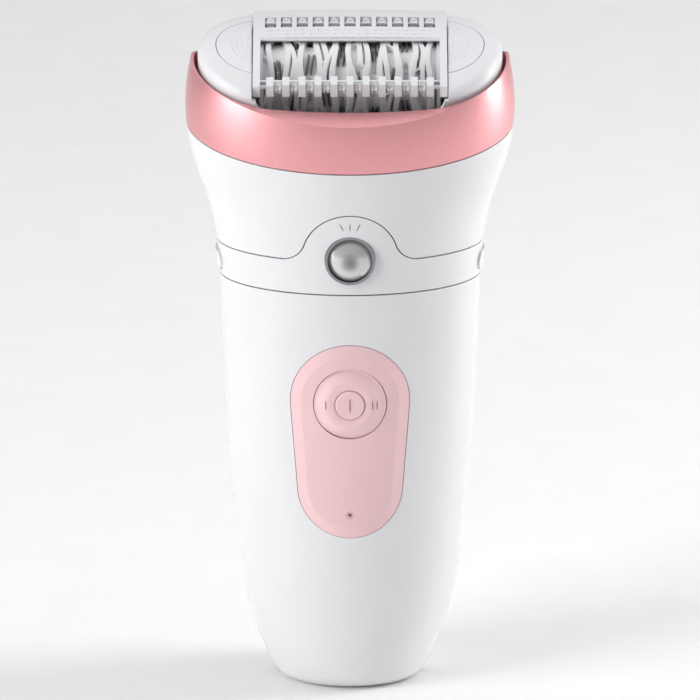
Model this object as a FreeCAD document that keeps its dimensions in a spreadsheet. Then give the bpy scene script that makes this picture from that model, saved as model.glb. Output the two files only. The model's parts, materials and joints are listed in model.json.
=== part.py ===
"""Cordless epilator: a water-tight handle with a speed dial and a lamp, and a pull-off head in which a
geared tweezer barrel turns under a clip-on massage cap. Millimetres, +Z up, front towards -Y.
The origin is the middle of the flat foot that the handle stands on."""

import FreeCAD, Part
import math
import os
import re
from FreeCAD import Placement, Rotation, Vector

doc = FreeCAD.newDocument("epilator")
sheet = doc.addObject("Spreadsheet::Sheet", "dims")

# ---------------------------------------------------------------- driving dimensions
SIZES = {
    # casing
    "wall": 2.2,
    "level_step": 10.0,  # height between two sections of the outer form
    "foot_round": 4.0,
    "waist_height": 87.7,  # top of the handle halves
    "neck_bottom": 88.0,
    "neck_top": 94.9,
    "head_bottom": 95.2,
    "split_gap": 0.35,  # each handle half stops this far from the middle plane
    # control panel, an egg outline of two arcs
    "panel_top_height": 65.0,
    "panel_top_round": 12.15,
    "panel_low_height": 46.2,
    "panel_low_round": 10.7,
    "panel_proud": 0.7,
    "panel_floor": 1.3,
    "status_height": 40.7,
    # speed dial and its lock button
    "dial_height": 64.8,
    "dial_radius": 7.4,
    "dial_front": 19.5,
    "button_radius": 3.0,
    "running_gap": 0.05,
    # lamp
    "lamp_height": 95.4,
    "lamp_hole": 5.15,
    "arch_radius": 9.7,
    "arch_blend": 5.0,
    "arch_gap": 0.25,
    # release buttons
    "release_height": 90.9,
    "release_travel": 1.2,
    # motor and gear train
    "motor_bottom": 57.0,
    "motor_top": 84.0,
    "motor_radius": 10.0,
    "shaft_radius": 1.0,
    "spur_module": 0.5,
    "crown_module": 0.6,
    "barrel_teeth": 20,
    "idler_teeth": 30,
    "drive_teeth": 12,
    "crown_teeth": 30,
    "pinion_teeth": 10,
    "gear_plane": 21.7,
    "gear_width": 2.0,
    # head, in its own frame: origin on the barrel's axis, tipped towards the front
    "axis_height": 128.2,
    "head_tilt": 15.0,
    "head_length": 31.0,  # half length of the head's rounded oblong
    "head_depth": 15.5,  # half depth, and the radius of its ends
    "head_floor": 7.0,
    "head_wall": 1.6,
    "channel_half": 19.9,  # half width of the channel that takes the cap
    "cap_seat": 4.05,
    "dome_height": 30.0,
    "dome_length": 130.0,
    "dome_depth": 38.0,
    "dome_drop": 20.7,
    "dome_back": 2.0,
    "axle_radius": 1.25,
    "band_bottom": 7.6,
    "rim_front": 2.15,
    "rim_curve": 166.0,
    "rim_thickness": 2.0,
    # tweezer barrel and cap
    "barrel_radius": 8.3,
    "barrel_room": 8.75,  # radius kept clear of the cap
    "disc_pitch": 3.24,
    "disc_count": 11,
    "cap_half": 19.7,
    "rail_inner": 18.2,
    "roller_radius": 1.3,
}
# half width and half depth of the outer form, from the foot up, one for each level
HALF_WIDTHS = [14.6, 19.3, 21.9, 23.3, 24.3, 25.1, 25.7, 26.1, 26.5, 26.9, 28.2, 31.3, 33.5, 33.1, 30.4]
HALF_DEPTHS = [11.4, 14.6, 16.2, 17.1, 17.6, 18.0, 18.2, 18.2, 18.0, 18.0, 18.8, 20.7, 21.9, 21.6, 19.4]
for level, (half_width, half_depth) in enumerate(zip(HALF_WIDTHS, HALF_DEPTHS)):
    SIZES[f"half_width_{level}"] = half_width
    SIZES[f"half_depth_{level}"] = half_depth
for row, (alias, value) in enumerate(SIZES.items(), start=1):
    sheet.set(f"A{row}", alias)
    sheet.set(f"B{row}", str(value))
    sheet.setAlias(f"B{row}", alias)
doc.recompute()

BIG = 60.0  # reach of a cutting tool past the object
pieces = {}


def val(name):
    return float(sheet.get(name))


# ---------------------------------------------------------------- helpers
def bind(obj, prop, size):
    """Sets a property from a number, or binds it to an expression over the sheet's names."""
    if isinstance(size, str):
        obj.setExpression(prop, re.sub(r"[a-z][a-z_0-9]*", lambda m: "dims." + m.group(), size))
    else:
        obj.setExpression(prop, repr(float(size)))


def put(obj, at, turn=None):
    if turn:
        obj.Placement.Rotation = turn
    for axis, size in zip("xyz", at):
        bind(obj, f"Placement.Base.{axis}", size)
    return obj


TURNS = {
    "x": Rotation(Vector(0, 1, 0), 90),
    "y": Rotation(Vector(1, 0, 0), -90),
    "z": None,
}


def box(low, size):
    """A box from its lowest corner and its three lengths."""
    made = doc.addObject("Part::Box", "box")
    for prop, length in zip(("Length", "Width", "Height"), size):
        bind(made, prop, length)
    return put(made, low)


def block(x, y, z):
    """A box between two numbers along each axis."""
    return box((x[0], y[0], z[0]), (x[1] - x[0], y[1] - y[0], z[1] - z[0]))


def rod(radius, length, at, axis="z"):
    made = doc.addObject("Part::Cylinder", "rod")
    bind(made, "Radius", radius)
    bind(made, "Height", length)
    return put(made, at, TURNS[axis])


def taper(radius_1, radius_2, length, at, axis="z"):
    made = doc.addObject("Part::Cone", "taper")
    bind(made, "Radius1", radius_1)
    bind(made, "Radius2", radius_2)
    bind(made, "Height", length)
    return put(made, at, TURNS[axis])


def fuse(*shapes):
    made = doc.addObject("Part::MultiFuse", "fuse")
    made.Shapes = list(shapes)
    return made


def common(*shapes):
    made = doc.addObject("Part::MultiCommon", "common")
    made.Shapes = list(shapes)
    return made


def cut(base, *tools):
    made = doc.addObject("Part::Cut", "cut")
    made.Base = base
    made.Tool = tools[0] if len(tools) == 1 else fuse(*tools)
    return made


def group(*shapes):
    made = doc.addObject("Part::Compound", "group")
    made.Links = list(shapes)
    return made


def tilted(*shapes):
    """Moves shapes from the head's frame to the object's."""
    made = group(*shapes)
    made.Placement.Rotation = Rotation(Vector(1, 0, 0), 0)
    bind(made, "Placement.Rotation.Angle", "head_tilt")
    return put(made, (0, 0, "axis_height"))


def ring(outer, inner, length, at, axis="z"):
    return cut(rod(outer, length, at, axis), rod(inner, length, at, axis))


def outline(edges, plane="xz"):
    """A face from edges given in a plane: xz stands upright facing the front, yz faces the side."""
    face = Part.Face(Part.Wire(Part.__sortEdges__(edges)))
    if plane == "xz":
        face.rotate(Vector(), Vector(1, 0, 0), 90)
    return face


def prism(face, along):
    """A solid made by drawing a face along a vector."""
    made = doc.addObject("Part::Feature", "prism")
    made.Shape = face.extrude(Vector(*along))
    return made


def rounded(base, radius, chooser, chamfer=None):
    """Rounds the edges that chooser picks, or bevels them by radius and chamfer."""
    doc.recompute()
    made = doc.addObject("Part::Chamfer" if chamfer else "Part::Fillet", "rounded")
    made.Base = base
    second = chamfer or radius
    made.Edges = [(i, radius, second) for i, e in enumerate(base.Shape.Edges, 1) if chooser(e)]
    doc.recompute()
    if "Invalid" in made.State or made.Shape.isNull() or not made.Shape.isValid():
        raise SystemExit(f"no edge treatment of {radius} on {base.Name}")
    return made


def piece(name, obj):
    obj.Label = name
    pieces[name] = obj
    return obj


# ---------------------------------------------------------------- the outer form
def outer_form(inset):
    """The oval form of handle, neck and collar, drawn in by inset on every side."""
    sections = []
    for level in range(len(HALF_WIDTHS)):
        oval = doc.addObject("Part::Ellipse", "oval")
        bind(oval, "MajorRadius", f"half_width_{level} - ({inset})" if inset else f"half_width_{level}")
        bind(oval, "MinorRadius", f"half_depth_{level} - ({inset})" if inset else f"half_depth_{level}")
        height = f"level_step * {level}"
        if level == 0 and inset:
            height = f"0 + ({inset})"
        bind(oval, "Placement.Base.z", height)
        sections.append(oval)
    loft = doc.addObject("Part::Loft", "form")
    loft.Sections = sections
    loft.Solid = True
    doc.recompute()
    low = loft.Shape.BoundBox.ZMin
    return rounded(loft, val("foot_round"), lambda e: e.BoundBox.ZMax < low + 0.01)


def slab(low, high):
    """The space between two heights."""
    made = doc.addObject("Part::Box", "slab")
    bind(made, "Length", 2 * BIG)
    bind(made, "Width", 2 * BIG)
    bind(made, "Height", f"({high}) - ({low})")
    return put(made, (-BIG, -BIG, low))


outer = outer_form("")
inner = outer_form("wall")
skin = cut(outer, inner)
interior = outer_form("wall + 0.2")


def egg_face(offset):
    """The control panel's outline, offset outwards: two arcs and their common tangents."""
    big, small = val("panel_top_round") + offset, val("panel_low_round") + offset
    top, low = val("panel_top_height"), val("panel_low_height")
    lean = math.asin((big - small) / (top - low))  # tilt of the tangent lines
    right_top = Vector(big * math.cos(lean), top - big * math.sin(lean), 0)
    right_low = Vector(small * math.cos(lean), low - small * math.sin(lean), 0)
    left_top, left_low = Vector(-right_top.x, right_top.y, 0), Vector(-right_low.x, right_low.y, 0)
    return outline([
        Part.Arc(right_top, Vector(0, top + big, 0), left_top).toShape(),
        Part.LineSegment(left_top, left_low).toShape(),
        Part.Arc(left_low, Vector(0, low - small, 0), right_low).toShape(),
        Part.LineSegment(right_low, right_top).toShape(),
    ])


def arch_face(offset):
    """The neck's outline with its arch over the lamp, offset outwards."""
    radius, blend = val("arch_radius") + offset, val("arch_blend") - offset
    base, centre = val("neck_top") + offset, val("lamp_height")
    rise = base + blend - centre
    run = math.sqrt((radius + blend) ** 2 - rise**2)
    touch = Vector(-run, rise, 0) * (radius / (radius + blend)) + Vector(0, centre, 0)
    middle = Vector(-run, base + blend, 0)
    halfway = (touch - middle).normalize() + Vector(0, -1, 0)
    bend = middle + halfway.normalize() * blend
    foot = Vector(-run, base, 0)
    low = val("neck_bottom") - 8

    def across(p):
        return Vector(-p.x, p.y, 0)

    corner_top, corner_low = Vector(-BIG, base, 0), Vector(-BIG, low, 0)
    return outline([
        Part.LineSegment(corner_low, corner_top).toShape(),
        Part.LineSegment(corner_top, foot).toShape(),
        Part.Arc(foot, bend, touch).toShape(),
        Part.Arc(touch, Vector(0, centre + radius, 0), across(touch)).toShape(),
        Part.Arc(across(touch), across(bend), across(foot)).toShape(),
        Part.LineSegment(across(foot), across(corner_top)).toShape(),
        Part.LineSegment(across(corner_top), across(corner_low)).toShape(),
        Part.LineSegment(across(corner_low), corner_low).toShape(),
    ])


def front_prism(face):
    """Everything in front of the object's middle whose front view is the face."""
    return prism(face, (0, -BIG, 0))


# ---------------------------------------------------------------- handle casing
def build_casing():
    inlet_hole = box((-5.9, -4.1, -1), (11.8, 8.2, 20))
    panel_hole = common(front_prism(egg_face(0.12)), cut(outer_form("0 - 2"), outer_form("panel_floor")))
    dial_hole = rod(4.6, 12, (0, -24, "dial_height"), "y")
    status_hole = rod(0.8, 12, (0, -24, "status_height"), "y")
    front_half = box((-BIG, -BIG, 0), (2 * BIG, f"{BIG} - split_gap", "waist_height"))
    rear_half = box((-BIG, "split_gap", 0), (2 * BIG, BIG, "waist_height"))
    piece("front_housing", cut(common(skin, front_half), inlet_hole, panel_hole, dial_hole, status_hole))
    piece("rear_housing", cut(common(skin, rear_half), inlet_hole))
    strip = cut(outer_form("0.45"), outer_form("1.75"))
    between = box((-BIG, "0 - split_gap", 0.6), (2 * BIG, "2 * split_gap", "waist_height - 0.8"))
    piece("housing_seal", cut(common(strip, between), inlet_hole))
    oval_ring = cut(outer_form("0.7"), outer_form("wall - 0.2"))
    piece("neck_gasket", common(oval_ring, slab("waist_height", "neck_bottom")))


def build_panel():
    pad = cut(common(outer_form("0 - panel_proud"), front_prism(egg_face(0))), outer_form("panel_floor"))
    pad = cut(pad, rod("dial_radius + 0.16", 12, (0, -24, "dial_height"), "y"))
    pad = cut(pad, rod(0.8, 12, (0, -24, "status_height"), "y"))
    doc.recompute()

    def rim(e):
        """The outline's front edge: clear of the form, and not round the dial or the status light."""
        start = e.valueAt(e.FirstParameter)
        near_dial = math.hypot(start.x, start.z - val("dial_height")) < 9
        near_light = math.hypot(start.x, start.z - val("status_height")) < 2
        return e.distToShape(outer.Shape)[0] < 0.8 and start.y < -16.5 and e.Length > 4 and not (near_dial or near_light)

    piece("control_panel", rounded(pad, 2.2, rim, 0.6))
    piece("status_light", group(rod(0.72, 6.6, (0, -18.25, "status_height"), "y")))


def build_inlet():
    body = box((-5.7, -3.9, 0.3), (11.4, 7.8, 12))
    pocket = box((-4.5, -2.7, -1), (9, 5.4, 10.5))
    pins = [rod(0.75, 6.1, (side * 3.4, 0, 3.4)) for side in (-1, 1)]
    legs = [rod(0.5, 3.4, (side * 3.4, 0, 9.5)) for side in (-1, 1)]
    leg_holes = [rod(0.5, 4.0, (side * 3.4, 0, 9.5)) for side in (-1, 1)]
    piece("charging_inlet", cut(body, pocket, *leg_holes))
    piece("inlet_pins", group(*[fuse(pin, leg) for pin, leg in zip(pins, legs)]))


# ---------------------------------------------------------------- neck: ring, deck, lamp
def build_neck():
    lens_hole = rod("lamp_hole", 12, (0, -25, "lamp_height"), "y")
    button_holes = [release_prism(0.15, side) for side in (-1, 1)]
    above = cut(slab("neck_top", "neck_top + 20"), front_prism(arch_face(0)))
    band = common(skin, slab("neck_bottom", "neck_top + 12"))
    piece("neck_ring", cut(band, above, lens_hole, *button_holes))
    bosses = [rod(2.3, 4.2, (side * 15.0, 0, 94.2)) for side in (-1, 1)]
    plate = common(inner, slab("neck_top - 1.4", "neck_top - 0.2"))
    lamp_space = rod(6.15, 6, (0, -18, "lamp_height"), "y")
    slots = [block((x, x + 2.8), (-2.4, 2.4), (90, 97)) for x in (20.2, -23.0)]
    head_holes = [rod(1.95, 1.05, (x, 9.0, 93.65)) for x in (-9.5, 9.5)]
    shanks = [rod(0.95, 3, (x, 9.0, 92)) for x in (-9.5, 9.5)]
    shaft_hole = rod(2.6, 3, (0, 0, 93))
    piece("top_deck", cut(fuse(plate, *bosses), lamp_space, *slots, *head_holes, *shanks, shaft_hole))
    seal = ring(2.6, "shaft_radius + running_gap", 1.2, (0, 0, "neck_top - 1.4"))
    piece("shaft_seal", seal)
    screws = []
    for x in (-9.5, 9.5):
        head = rod(1.9, 0.95, (x, 9.0, 93.7))
        cross = [block((x - 1.1, x + 1.1), (8.8, 9.2), (94.2, 95)), block((x - 0.2, x + 0.2), (7.9, 10.1), (94.2, 95))]
        screws.append(cut(fuse(head, rod(0.9, 9.3, (x, 9.0, 84.4))), *cross))
    piece("deck_screws", group(*screws))


def release_prism(gap, side):
    """A release button's rounded oblong, drawn along X on one side."""
    half_length, half_height = 4.6 + gap, 1.9 + gap
    straight = half_length - half_height
    reach = 20
    start = 17 if side > 0 else -17 - reach
    middle = box((start, -straight, f"release_height - {half_height}"), (reach, 2 * straight, 2 * half_height))
    ends = [rod(half_height, reach, (start, end * straight, "release_height"), "x") for end in (-1, 1)]
    return fuse(middle, *ends)


def build_release_buttons():
    for side, name in ((-1, "left"), (1, "right")):
        def slab_at(low, high, y, z):
            ends = sorted((side * low, side * high))
            return block(ends, (-y, y), z)

        face = common(release_prism(0, side), outer_form("0 - 0.5"), slab_at(23.5, 40, 10, (80, 100)))
        flange = common(slab_at(22.9, 24.0, 5.4, (88.5, 93.3)), interior)
        tab = slab_at(21.6, 22.8, 2.0, (89.5, 98.0))
        bridge = slab_at(22.0, 24.0, 2.0, (89.5, 92.1))
        piece(f"release_button_{name}", fuse(face, flange, tab, bridge))


def build_lamp():
    cup = cut(rod(6.0, 4.0, (0, -16.2, "lamp_height"), "y"), rod(4.9, 3.2, (0, -16.3, "lamp_height"), "y"))
    piece("lamp_housing", cut(common(cup, interior), rod(0.5, 4, (-1.2, -14, "lamp_height"), "y"), rod(0.5, 4, (1.2, -14, "lamp_height"), "y")))
    shell = taper(4.5, 2.4, 2.8, (0, -16.15, "lamp_height"), "y")
    hollow = taper(4.2, 1.8, 2.5, (0, -16.15, "lamp_height"), "y")
    piece("lamp_reflector", cut(shell, hollow, rod(1.4, 3, (0, -14, "lamp_height"), "y")))
    chip = box((-1.0, -14.0, "lamp_height - 1"), (2, 0.9, 2))
    piece("lamp_led", chip)
    bezel = cut(rod("lamp_hole - 0.05", 2.5, (0, -18.75, "lamp_height"), "y"), rod(4.55, 4, (0, -19, "lamp_height"), "y"))
    piece("lens_bezel", bezel)
    dome = doc.addObject("Part::Sphere", "dome")
    bind(dome, "Radius", 8.2)
    put(dome, (0, -11.0, "lamp_height"))
    piece("lamp_lens", common(dome, rod(4.5, 6, (0, -22.3, "lamp_height"), "y")))


# ---------------------------------------------------------------- dial and lock button
def build_dial():
    disc = rod("dial_radius", 2.3, (0, "0 - dial_front", "dial_height"), "y")
    disc = rounded(disc, 0.55, lambda e: e.BoundBox.YMax < -val("dial_front") + 0.01)
    hub = rod(4.3, 5.4, (0, -18.8, "dial_height"), "y")
    bore = rod("button_radius + running_gap", 10, (0, -21, "dial_height"), "y")
    piece("switch_dial", cut(fuse(disc, hub), bore))
    button = rod("button_radius", 5.2, (0, -19.75, "dial_height"), "y")
    piece("lock_button", rounded(button, 0.35, lambda e: e.BoundBox.YMax < -19.74))


# ---------------------------------------------------------------- inside the handle
def turned_about_z(angle, low, size):
    """A box turned about the object's upright axis."""
    made = box(low, size)
    for axis in "xyz":
        made.setExpression(f"Placement.Base.{axis}", None)
    turn = Rotation(Vector(0, 0, 1), angle)
    made.Placement = Placement(turn.multVec(Vector(*low)), turn)
    return made


def build_motor():
    can = rod("motor_radius", "motor_top - motor_bottom", (0, 0, "motor_bottom"))
    hollow = rod("motor_radius - 0.9", "motor_top - motor_bottom - 1", (0, 0, "motor_bottom"))
    screw_holes = [rod(0.85, 3, (side * 6, 0, 82)) for side in (-1, 1)]
    piece("motor_can", cut(can, hollow, rod(2.1, 4, (0, 0, 82)), *screw_holes))
    lid = rod("motor_radius", 1.5, (0, 0, "motor_bottom - 1.5"))
    lid_boss = rod(3.4, 1.4, (0, 0, "motor_bottom - 2.7"))
    piece("motor_end_cap", cut(fuse(lid, lid_boss), rod(2.1, 6, (0, 0, 53))))
    bush = "shaft_radius + running_gap"
    piece("motor_bearings", group(ring(2.1, bush, 1.8, (0, 0, 82.6)), ring(2.1, bush, 1.7, (0, 0, 54.4))))
    side_cut = [block((side * 8 - 4.5, side * 8 + 4.5), (-2.2, 2.2), (59, 81)) for side in (-1, 1)]
    piece("motor_magnets", cut(ring("motor_radius - 0.95", 7.4, 20, (0, 0, 60)), *side_cut))
    screws = [fuse(rod(1.6, 0.9, (side * 6, 0, 85.8)), rod(0.8, 3.3, (side * 6, 0, 82.6))) for side in (-1, 1)]
    piece("motor_screws", group(*screws))
    piece("motor_shaft", group(rod("shaft_radius", 44.0, (0, 0, 54.9))))
    poles = [turned_about_z(120 * i, (-1.5, 0, 62), (3, 6.0, 16)) for i in range(3)]
    shoes = [turned_about_z(120 * i, (-4.2, 5.0, 62), (8.4, 2.0, 16)) for i in range(3)]
    windings = ring(4.9, 2.2, 17.4, (0, 0, 61.3))
    star = common(fuse(*poles, *shoes), rod(6.9, 30, (0, 0, 55)))
    piece("motor_armature", cut(fuse(star, windings), rod("shaft_radius", 40, (0, 0, 50))))
    piece("motor_commutator", ring(2.4, "shaft_radius", 2.6, (0, 0, 58.2)))


def build_power():
    piece("battery_cell", fuse(rod(7.1, 38.0, (0, 4, 14.0)), rod(2.6, 0.8, (0, 4, 52.0))))
    low_tab = box((-2.5, 1, 13.6), (5, 6, 0.4))
    high_tab = box((-2.5, 1, 52.8), (5, 6, 0.4))
    piece("battery_tabs", group(low_tab, high_tab))
    board = box((-9, -11.6, 38), (18, 1.0, 45))
    piece("circuit_board", board)
    parts = [
        block((-3.5, 3.5), (-12.6, -11.6), (52.0, 58.0)),
        block((-8.0, -5.5), (-12.8, -11.6), (44.0, 49.0)),
        block((5.0, 7.4), (-12.4, -11.6), (46.0, 50.0)),
        block((-7.5, -5.9), (-12.2, -11.6), (56.0, 57.0)),
        block((5.5, 7.1), (-12.2, -11.6), (55.0, 56.0)),
        block((-1.0, 1.0), (-12.3, -11.6), (44.0, 45.6)),
        block((-6.0, 6.0), (-13.0, -11.6), (74.5, 79.5)),
    ]
    piece("board_components", group(*parts))
    switch = cut(box((-5.5, -13.2, 59.3), (11, 1.6, 11)), rod(0.9, 3, (0, -14, "dial_height"), "y"))
    piece("selector_switch", switch)


def build_chassis():
    top = common(interior, slab("84.2", "85.8"))
    low = common(interior, slab("52.9", "54.2"))
    pillars = [block((side * 13.2 - 1.4, side * 13.2 + 1.4), (-4.5, 4.5), (54.0, 84.4)) for side in (-1, 1)]
    cradle = common(ring(8.3, 7.15, 38.4, (0, 4, 14.6)), box((-10, 4.6, 14), (20, 10, 40)))
    cradle = common(cradle, interior)
    board_space = block((-9.3, 9.3), (-30, -10.3), (50, 90))
    hubs = [rod(2.3, 7.6, (x, 9.0, 85.6)) for x in (-9.5, 9.5)]
    screw_holes = [rod(0.9, 12, (x, 9.0, 83)) for x in (-9.5, 9.5)]
    motor_holes = [rod(0.8, 6, (side * 6, 0, 82)) for side in (-1, 1)]
    openings = [rod(3.6, 40, (0, 0, 50)), box((-2.6, 0.9, 51), (5.2, 6.2, 4))]
    body = fuse(top, low, *pillars, cradle, *hubs)
    battery_space = rod(7.15, 38.2, (0, 4, 13.9))
    piece("chassis", cut(body, board_space, *screw_holes, *motor_holes, *openings, battery_space))


# ---------------------------------------------------------------- gears
def gear_face(module, teeth, bore, backlash, phase, tip=1.0, root=1.2):
    """An involute spur gear's outline round Z with its bore; phase is the angle of one tooth's middle."""
    pressure = math.radians(20)
    pitch = module * teeth / 2
    base, top, low = pitch * math.cos(pressure), pitch + tip * module, pitch - root * module

    def half_angle(radius):
        """Half the tooth's angle at a radius."""
        turn = math.acos(min(1, base / max(radius, base)))
        spread = math.tan(pressure) - pressure - (math.tan(turn) - turn)
        return math.pi / (2 * teeth) - backlash / (2 * pitch) + spread

    def at(radius, angle):
        return Vector(radius * math.cos(angle), radius * math.sin(angle), 0)

    edges = []
    flank_start = max(base, low)
    for i in range(teeth):
        middle = math.radians(phase) + 2 * math.pi * i / teeth
        step = 2 * math.pi / teeth
        radii = [flank_start, (flank_start + top) / 2, top]
        rising = [at(r, middle - half_angle(r)) for r in radii]
        falling = [at(r, middle + half_angle(r)) for r in reversed(radii)]
        foot_in = at(low, middle - half_angle(flank_start))
        foot_out = at(low, middle + half_angle(flank_start))
        next_foot = at(low, middle + step - half_angle(flank_start))
        if flank_start > low + 1e-6:
            edges.append(Part.LineSegment(foot_in, rising[0]).toShape())
            edges.append(Part.LineSegment(falling[-1], foot_out).toShape())
        edges.append(Part.Arc(*rising).toShape())
        edges.append(Part.Arc(rising[-1], at(top, middle), falling[0]).toShape())
        edges.append(Part.Arc(*falling).toShape())
        edges.append(Part.Arc(foot_out, at(low, middle + step / 2), next_foot).toShape())
    face = Part.Face(Part.Wire(Part.__sortEdges__(edges)))
    return face.cut(Part.Face(Part.Wire(Part.makeCircle(bore)))) if bore else face


def along_x(face, start, length):
    """Draws a face made round Z along X instead: the face's X becomes Z, its Y stays Y reversed."""
    solid = face.extrude(Vector(0, 0, length))
    solid.rotate(Vector(), Vector(0, 1, 0), 90)  # Z to X, X to -Z
    solid.rotate(Vector(), Vector(1, 0, 0), 180)  # -Z to Z
    solid.translate(Vector(start, 0, 0))
    return solid


def lifted(solid, height):
    made = doc.addObject("Part::Feature", "gear")
    solid.translate(Vector(0, 0, height))
    made.Shape = solid
    return made


def train_heights():
    """Heights of the barrel's, the idler's and the crown gear's axes."""
    module, axis = val("spur_module"), val("axis_height")
    idler = axis - module * (val("barrel_teeth") + val("idler_teeth")) / 2
    crown = idler - module * (val("idler_teeth") + val("drive_teeth")) / 2
    return axis, idler, crown


def build_gears():
    axis, idler, crown = train_heights()
    plane, width, module = val("gear_plane"), val("gear_width"), val("spur_module")
    backlash = 0.14
    barrel_gear = along_x(gear_face(module, int(val("barrel_teeth")), val("axle_radius") + val("running_gap"),
                                    backlash, 180, tip=0.9), plane, width)
    piece("barrel_gear", lifted(barrel_gear, axis))
    half_space = 180 / val("idler_teeth")
    idler_gear = along_x(gear_face(module, int(val("idler_teeth")), val("shaft_radius") + val("running_gap"),
                                   backlash, half_space), plane, width)
    piece("idler_gear", lifted(idler_gear, idler))
    drive = along_x(gear_face(module, int(val("drive_teeth")), val("shaft_radius"), backlash, 0), plane, width)
    piece("drive_pinion", lifted(drive, crown))
    piece("crown_axle", group(rod("shaft_radius", 21.4, (4.2, 0, crown), "x")))
    piece("crown_gear", crown_gear(crown))
    pinion_step = 180 / val("pinion_teeth")
    face = gear_face(val("crown_module"), int(val("pinion_teeth")), val("shaft_radius"), 0.25, pinion_step,
                     tip=0.85, root=1.25)
    motor_pinion = doc.addObject("Part::Feature", "gear")
    motor_pinion.Shape = face.extrude(Vector(0, 0, 2.9)).translate(Vector(0, 0, 95.9))
    piece("motor_pinion", motor_pinion)


def crown_gear(height):
    """A face gear turning round X, its teeth towards the motor pinion on its left."""
    pitch_plane = val("crown_module") * val("pinion_teeth") / 2
    tooth_tip, tooth_root = pitch_plane - 0.5, pitch_plane + 0.75
    inner_end, outer_end = 8.1, 9.7
    profile = [(-0.2, tooth_tip), (0.2, tooth_tip), (0.47, tooth_root + 0.1), (-0.47, tooth_root + 0.1)]
    corners = [Vector(x, y, -outer_end) for y, x in profile]
    tooth = Part.Face(Part.makePolygon(corners + corners[:1])).extrude(Vector(0, 0, outer_end - inner_end))
    count = int(val("crown_teeth"))
    teeth = []
    for i in range(count):
        turned = tooth.copy()
        turned.rotate(Vector(), Vector(1, 0, 0), 360 * i / count)
        teeth.append(turned)
    along = Vector(1, 0, 0)
    disc = Part.makeCylinder(outer_end, 1.8, Vector(tooth_root, 0, 0), along)
    hub = Part.makeCylinder(2.2, 4.0, Vector(tooth_root, 0, 0), along)
    bore = Part.makeCylinder(val("shaft_radius"), 30, Vector(-1, 0, 0), along)
    windows = [Part.makeCylinder(1.7, 5, Vector(tooth_root - 1, 5.2 * math.cos(math.radians(60 * i)),
                                               5.2 * math.sin(math.radians(60 * i))), along) for i in range(6)]
    solid = disc.fuse([hub, *teeth]).cut([bore, *windows])
    return lifted(solid, height)


# ---------------------------------------------------------------- head base: shell, collar, gear frame
def rim_cutter():
    """Everything above the collar's rim: a valley that rises to an ear at each end, then a slope to the back."""
    valley = rod("rim_curve", 2 * BIG, (0, -BIG, "rim_front + rim_curve"), "y")
    back = doc.addObject("Part::Box", "back")
    bind(back, "Length", 2 * BIG)
    bind(back, "Width", 2 * BIG)
    bind(back, "Height", BIG)
    put(back, (-BIG, 2.0, 5.3), Rotation(Vector(1, 0, 0), -26))
    return fuse(valley, back)


def oblong(half_length, half_depth, low, high):
    """An upright rounded oblong in the head's frame."""
    straight = half_length - half_depth
    middle = box((-straight, -half_depth, low), (2 * straight, 2 * half_depth, high - low))
    ends = [rod(half_depth, high - low, (side * straight, 0, low)) for side in (-1, 1)]
    return fuse(middle, *ends)


def build_head_base():
    over_band = tilted(block((-BIG, BIG), (-BIG, BIG), (-(val("band_bottom") + 0.3), BIG)))
    shell = common(skin, slab("head_bottom", "axis_height + 20"))
    half_length, half_depth = val("head_length") + 0.8, val("head_depth") + 0.8
    swing_room = common(tilted(oblong(half_length, half_depth, -11, 0)), outer_form("0.8"))
    piece("head_base_shell", cut(shell, over_band, swing_room, front_prism(arch_face(val("arch_gap")))))
    under_band = tilted(block((-BIG, BIG), (-BIG, BIG), (-2 * BIG, -val("band_bottom"))))
    cutter = rim_cutter()
    low_cutter = tilted(cutter)
    lip_floor = group(cutter)
    put(lip_floor, (0, 0, "0 - rim_thickness"))
    mouth = oblong(half_length, half_depth, -BIG, BIG)
    solid = cut(outer, under_band, low_cutter, slab("0 - 10", "head_bottom + 5"))
    hollow = cut(inner, tilted(lip_floor))
    axle_holes = rod("axle_radius", 65.2, (-32.6, 0, "axis_height"), "x")
    piece("collar_band", cut(solid, hollow, tilted(mouth), axle_holes))
    piece("pivot_axle", group(rod("axle_radius", 65.2, (-32.6, 0, "axis_height"), "x")))
    build_gear_frame()


def build_gear_frame():
    _, idler, crown = train_heights()
    plate = common(inner, slab("head_bottom + 0.2", "head_bottom + 1.8"))
    upright_inner = block((9.5, 11.1), (-4, 4), (96.5, 109))
    upright_middle = block((16.9, 18.4), (-4, 4), (96.5, 118.2))
    upright_outer = block((24.3, 25.7), (-4, 4), (96.5, 118.2))
    plate_holes = [
        block((-5, 8.2), (-11, 11), (90, 100)),
        block((-12.5, 12.5), (-30, -11.6), (90, 100)),
        *[rod(2.6, 10, (side * 15.0, 0, 90)) for side in (-1, 1)],
        *[block((x, x + 3.2), (-2.6, 2.6), (90, 100)) for x in (20.0, -23.2)],
    ]
    crown_bore = rod("shaft_radius + running_gap", 40, (0, 0, crown), "x")
    idler_bore = rod("shaft_radius", 40, (0, 0, idler), "x")
    body = common(fuse(plate, upright_inner, upright_middle, upright_outer), inner)
    piece("gear_frame", cut(body, *plate_holes, crown_bore, idler_bore))
    piece("idler_pin", group(rod("shaft_radius", 8.8, (16.9, 0, idler), "x")))


# ---------------------------------------------------------------- pivoting head, in the head's frame
def dome_form(lift):
    """The head's crowned top as an ellipsoid, raised by lift."""
    made = doc.addObject("Part::Ellipsoid", "dome")
    bind(made, "Radius1", "dome_height")
    bind(made, "Radius2", "dome_length")
    bind(made, "Radius3", "dome_depth")
    return put(made, (0, "dome_back", f"{lift} - dome_drop"))


def pod_disc(radius, low, high, side):
    """The round inset on a pod's top, between two lifts of the dome."""
    upright = rod(radius, 20, (side * 17.4, 0, 0))
    sector = block((20.05, 40), (-20, 20), (0, 20)) if side > 0 else block((-40, -20.05), (-20, 20), (0, 20))
    return cut(common(dome_form(high), upright, sector), dome_form(low))


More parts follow.
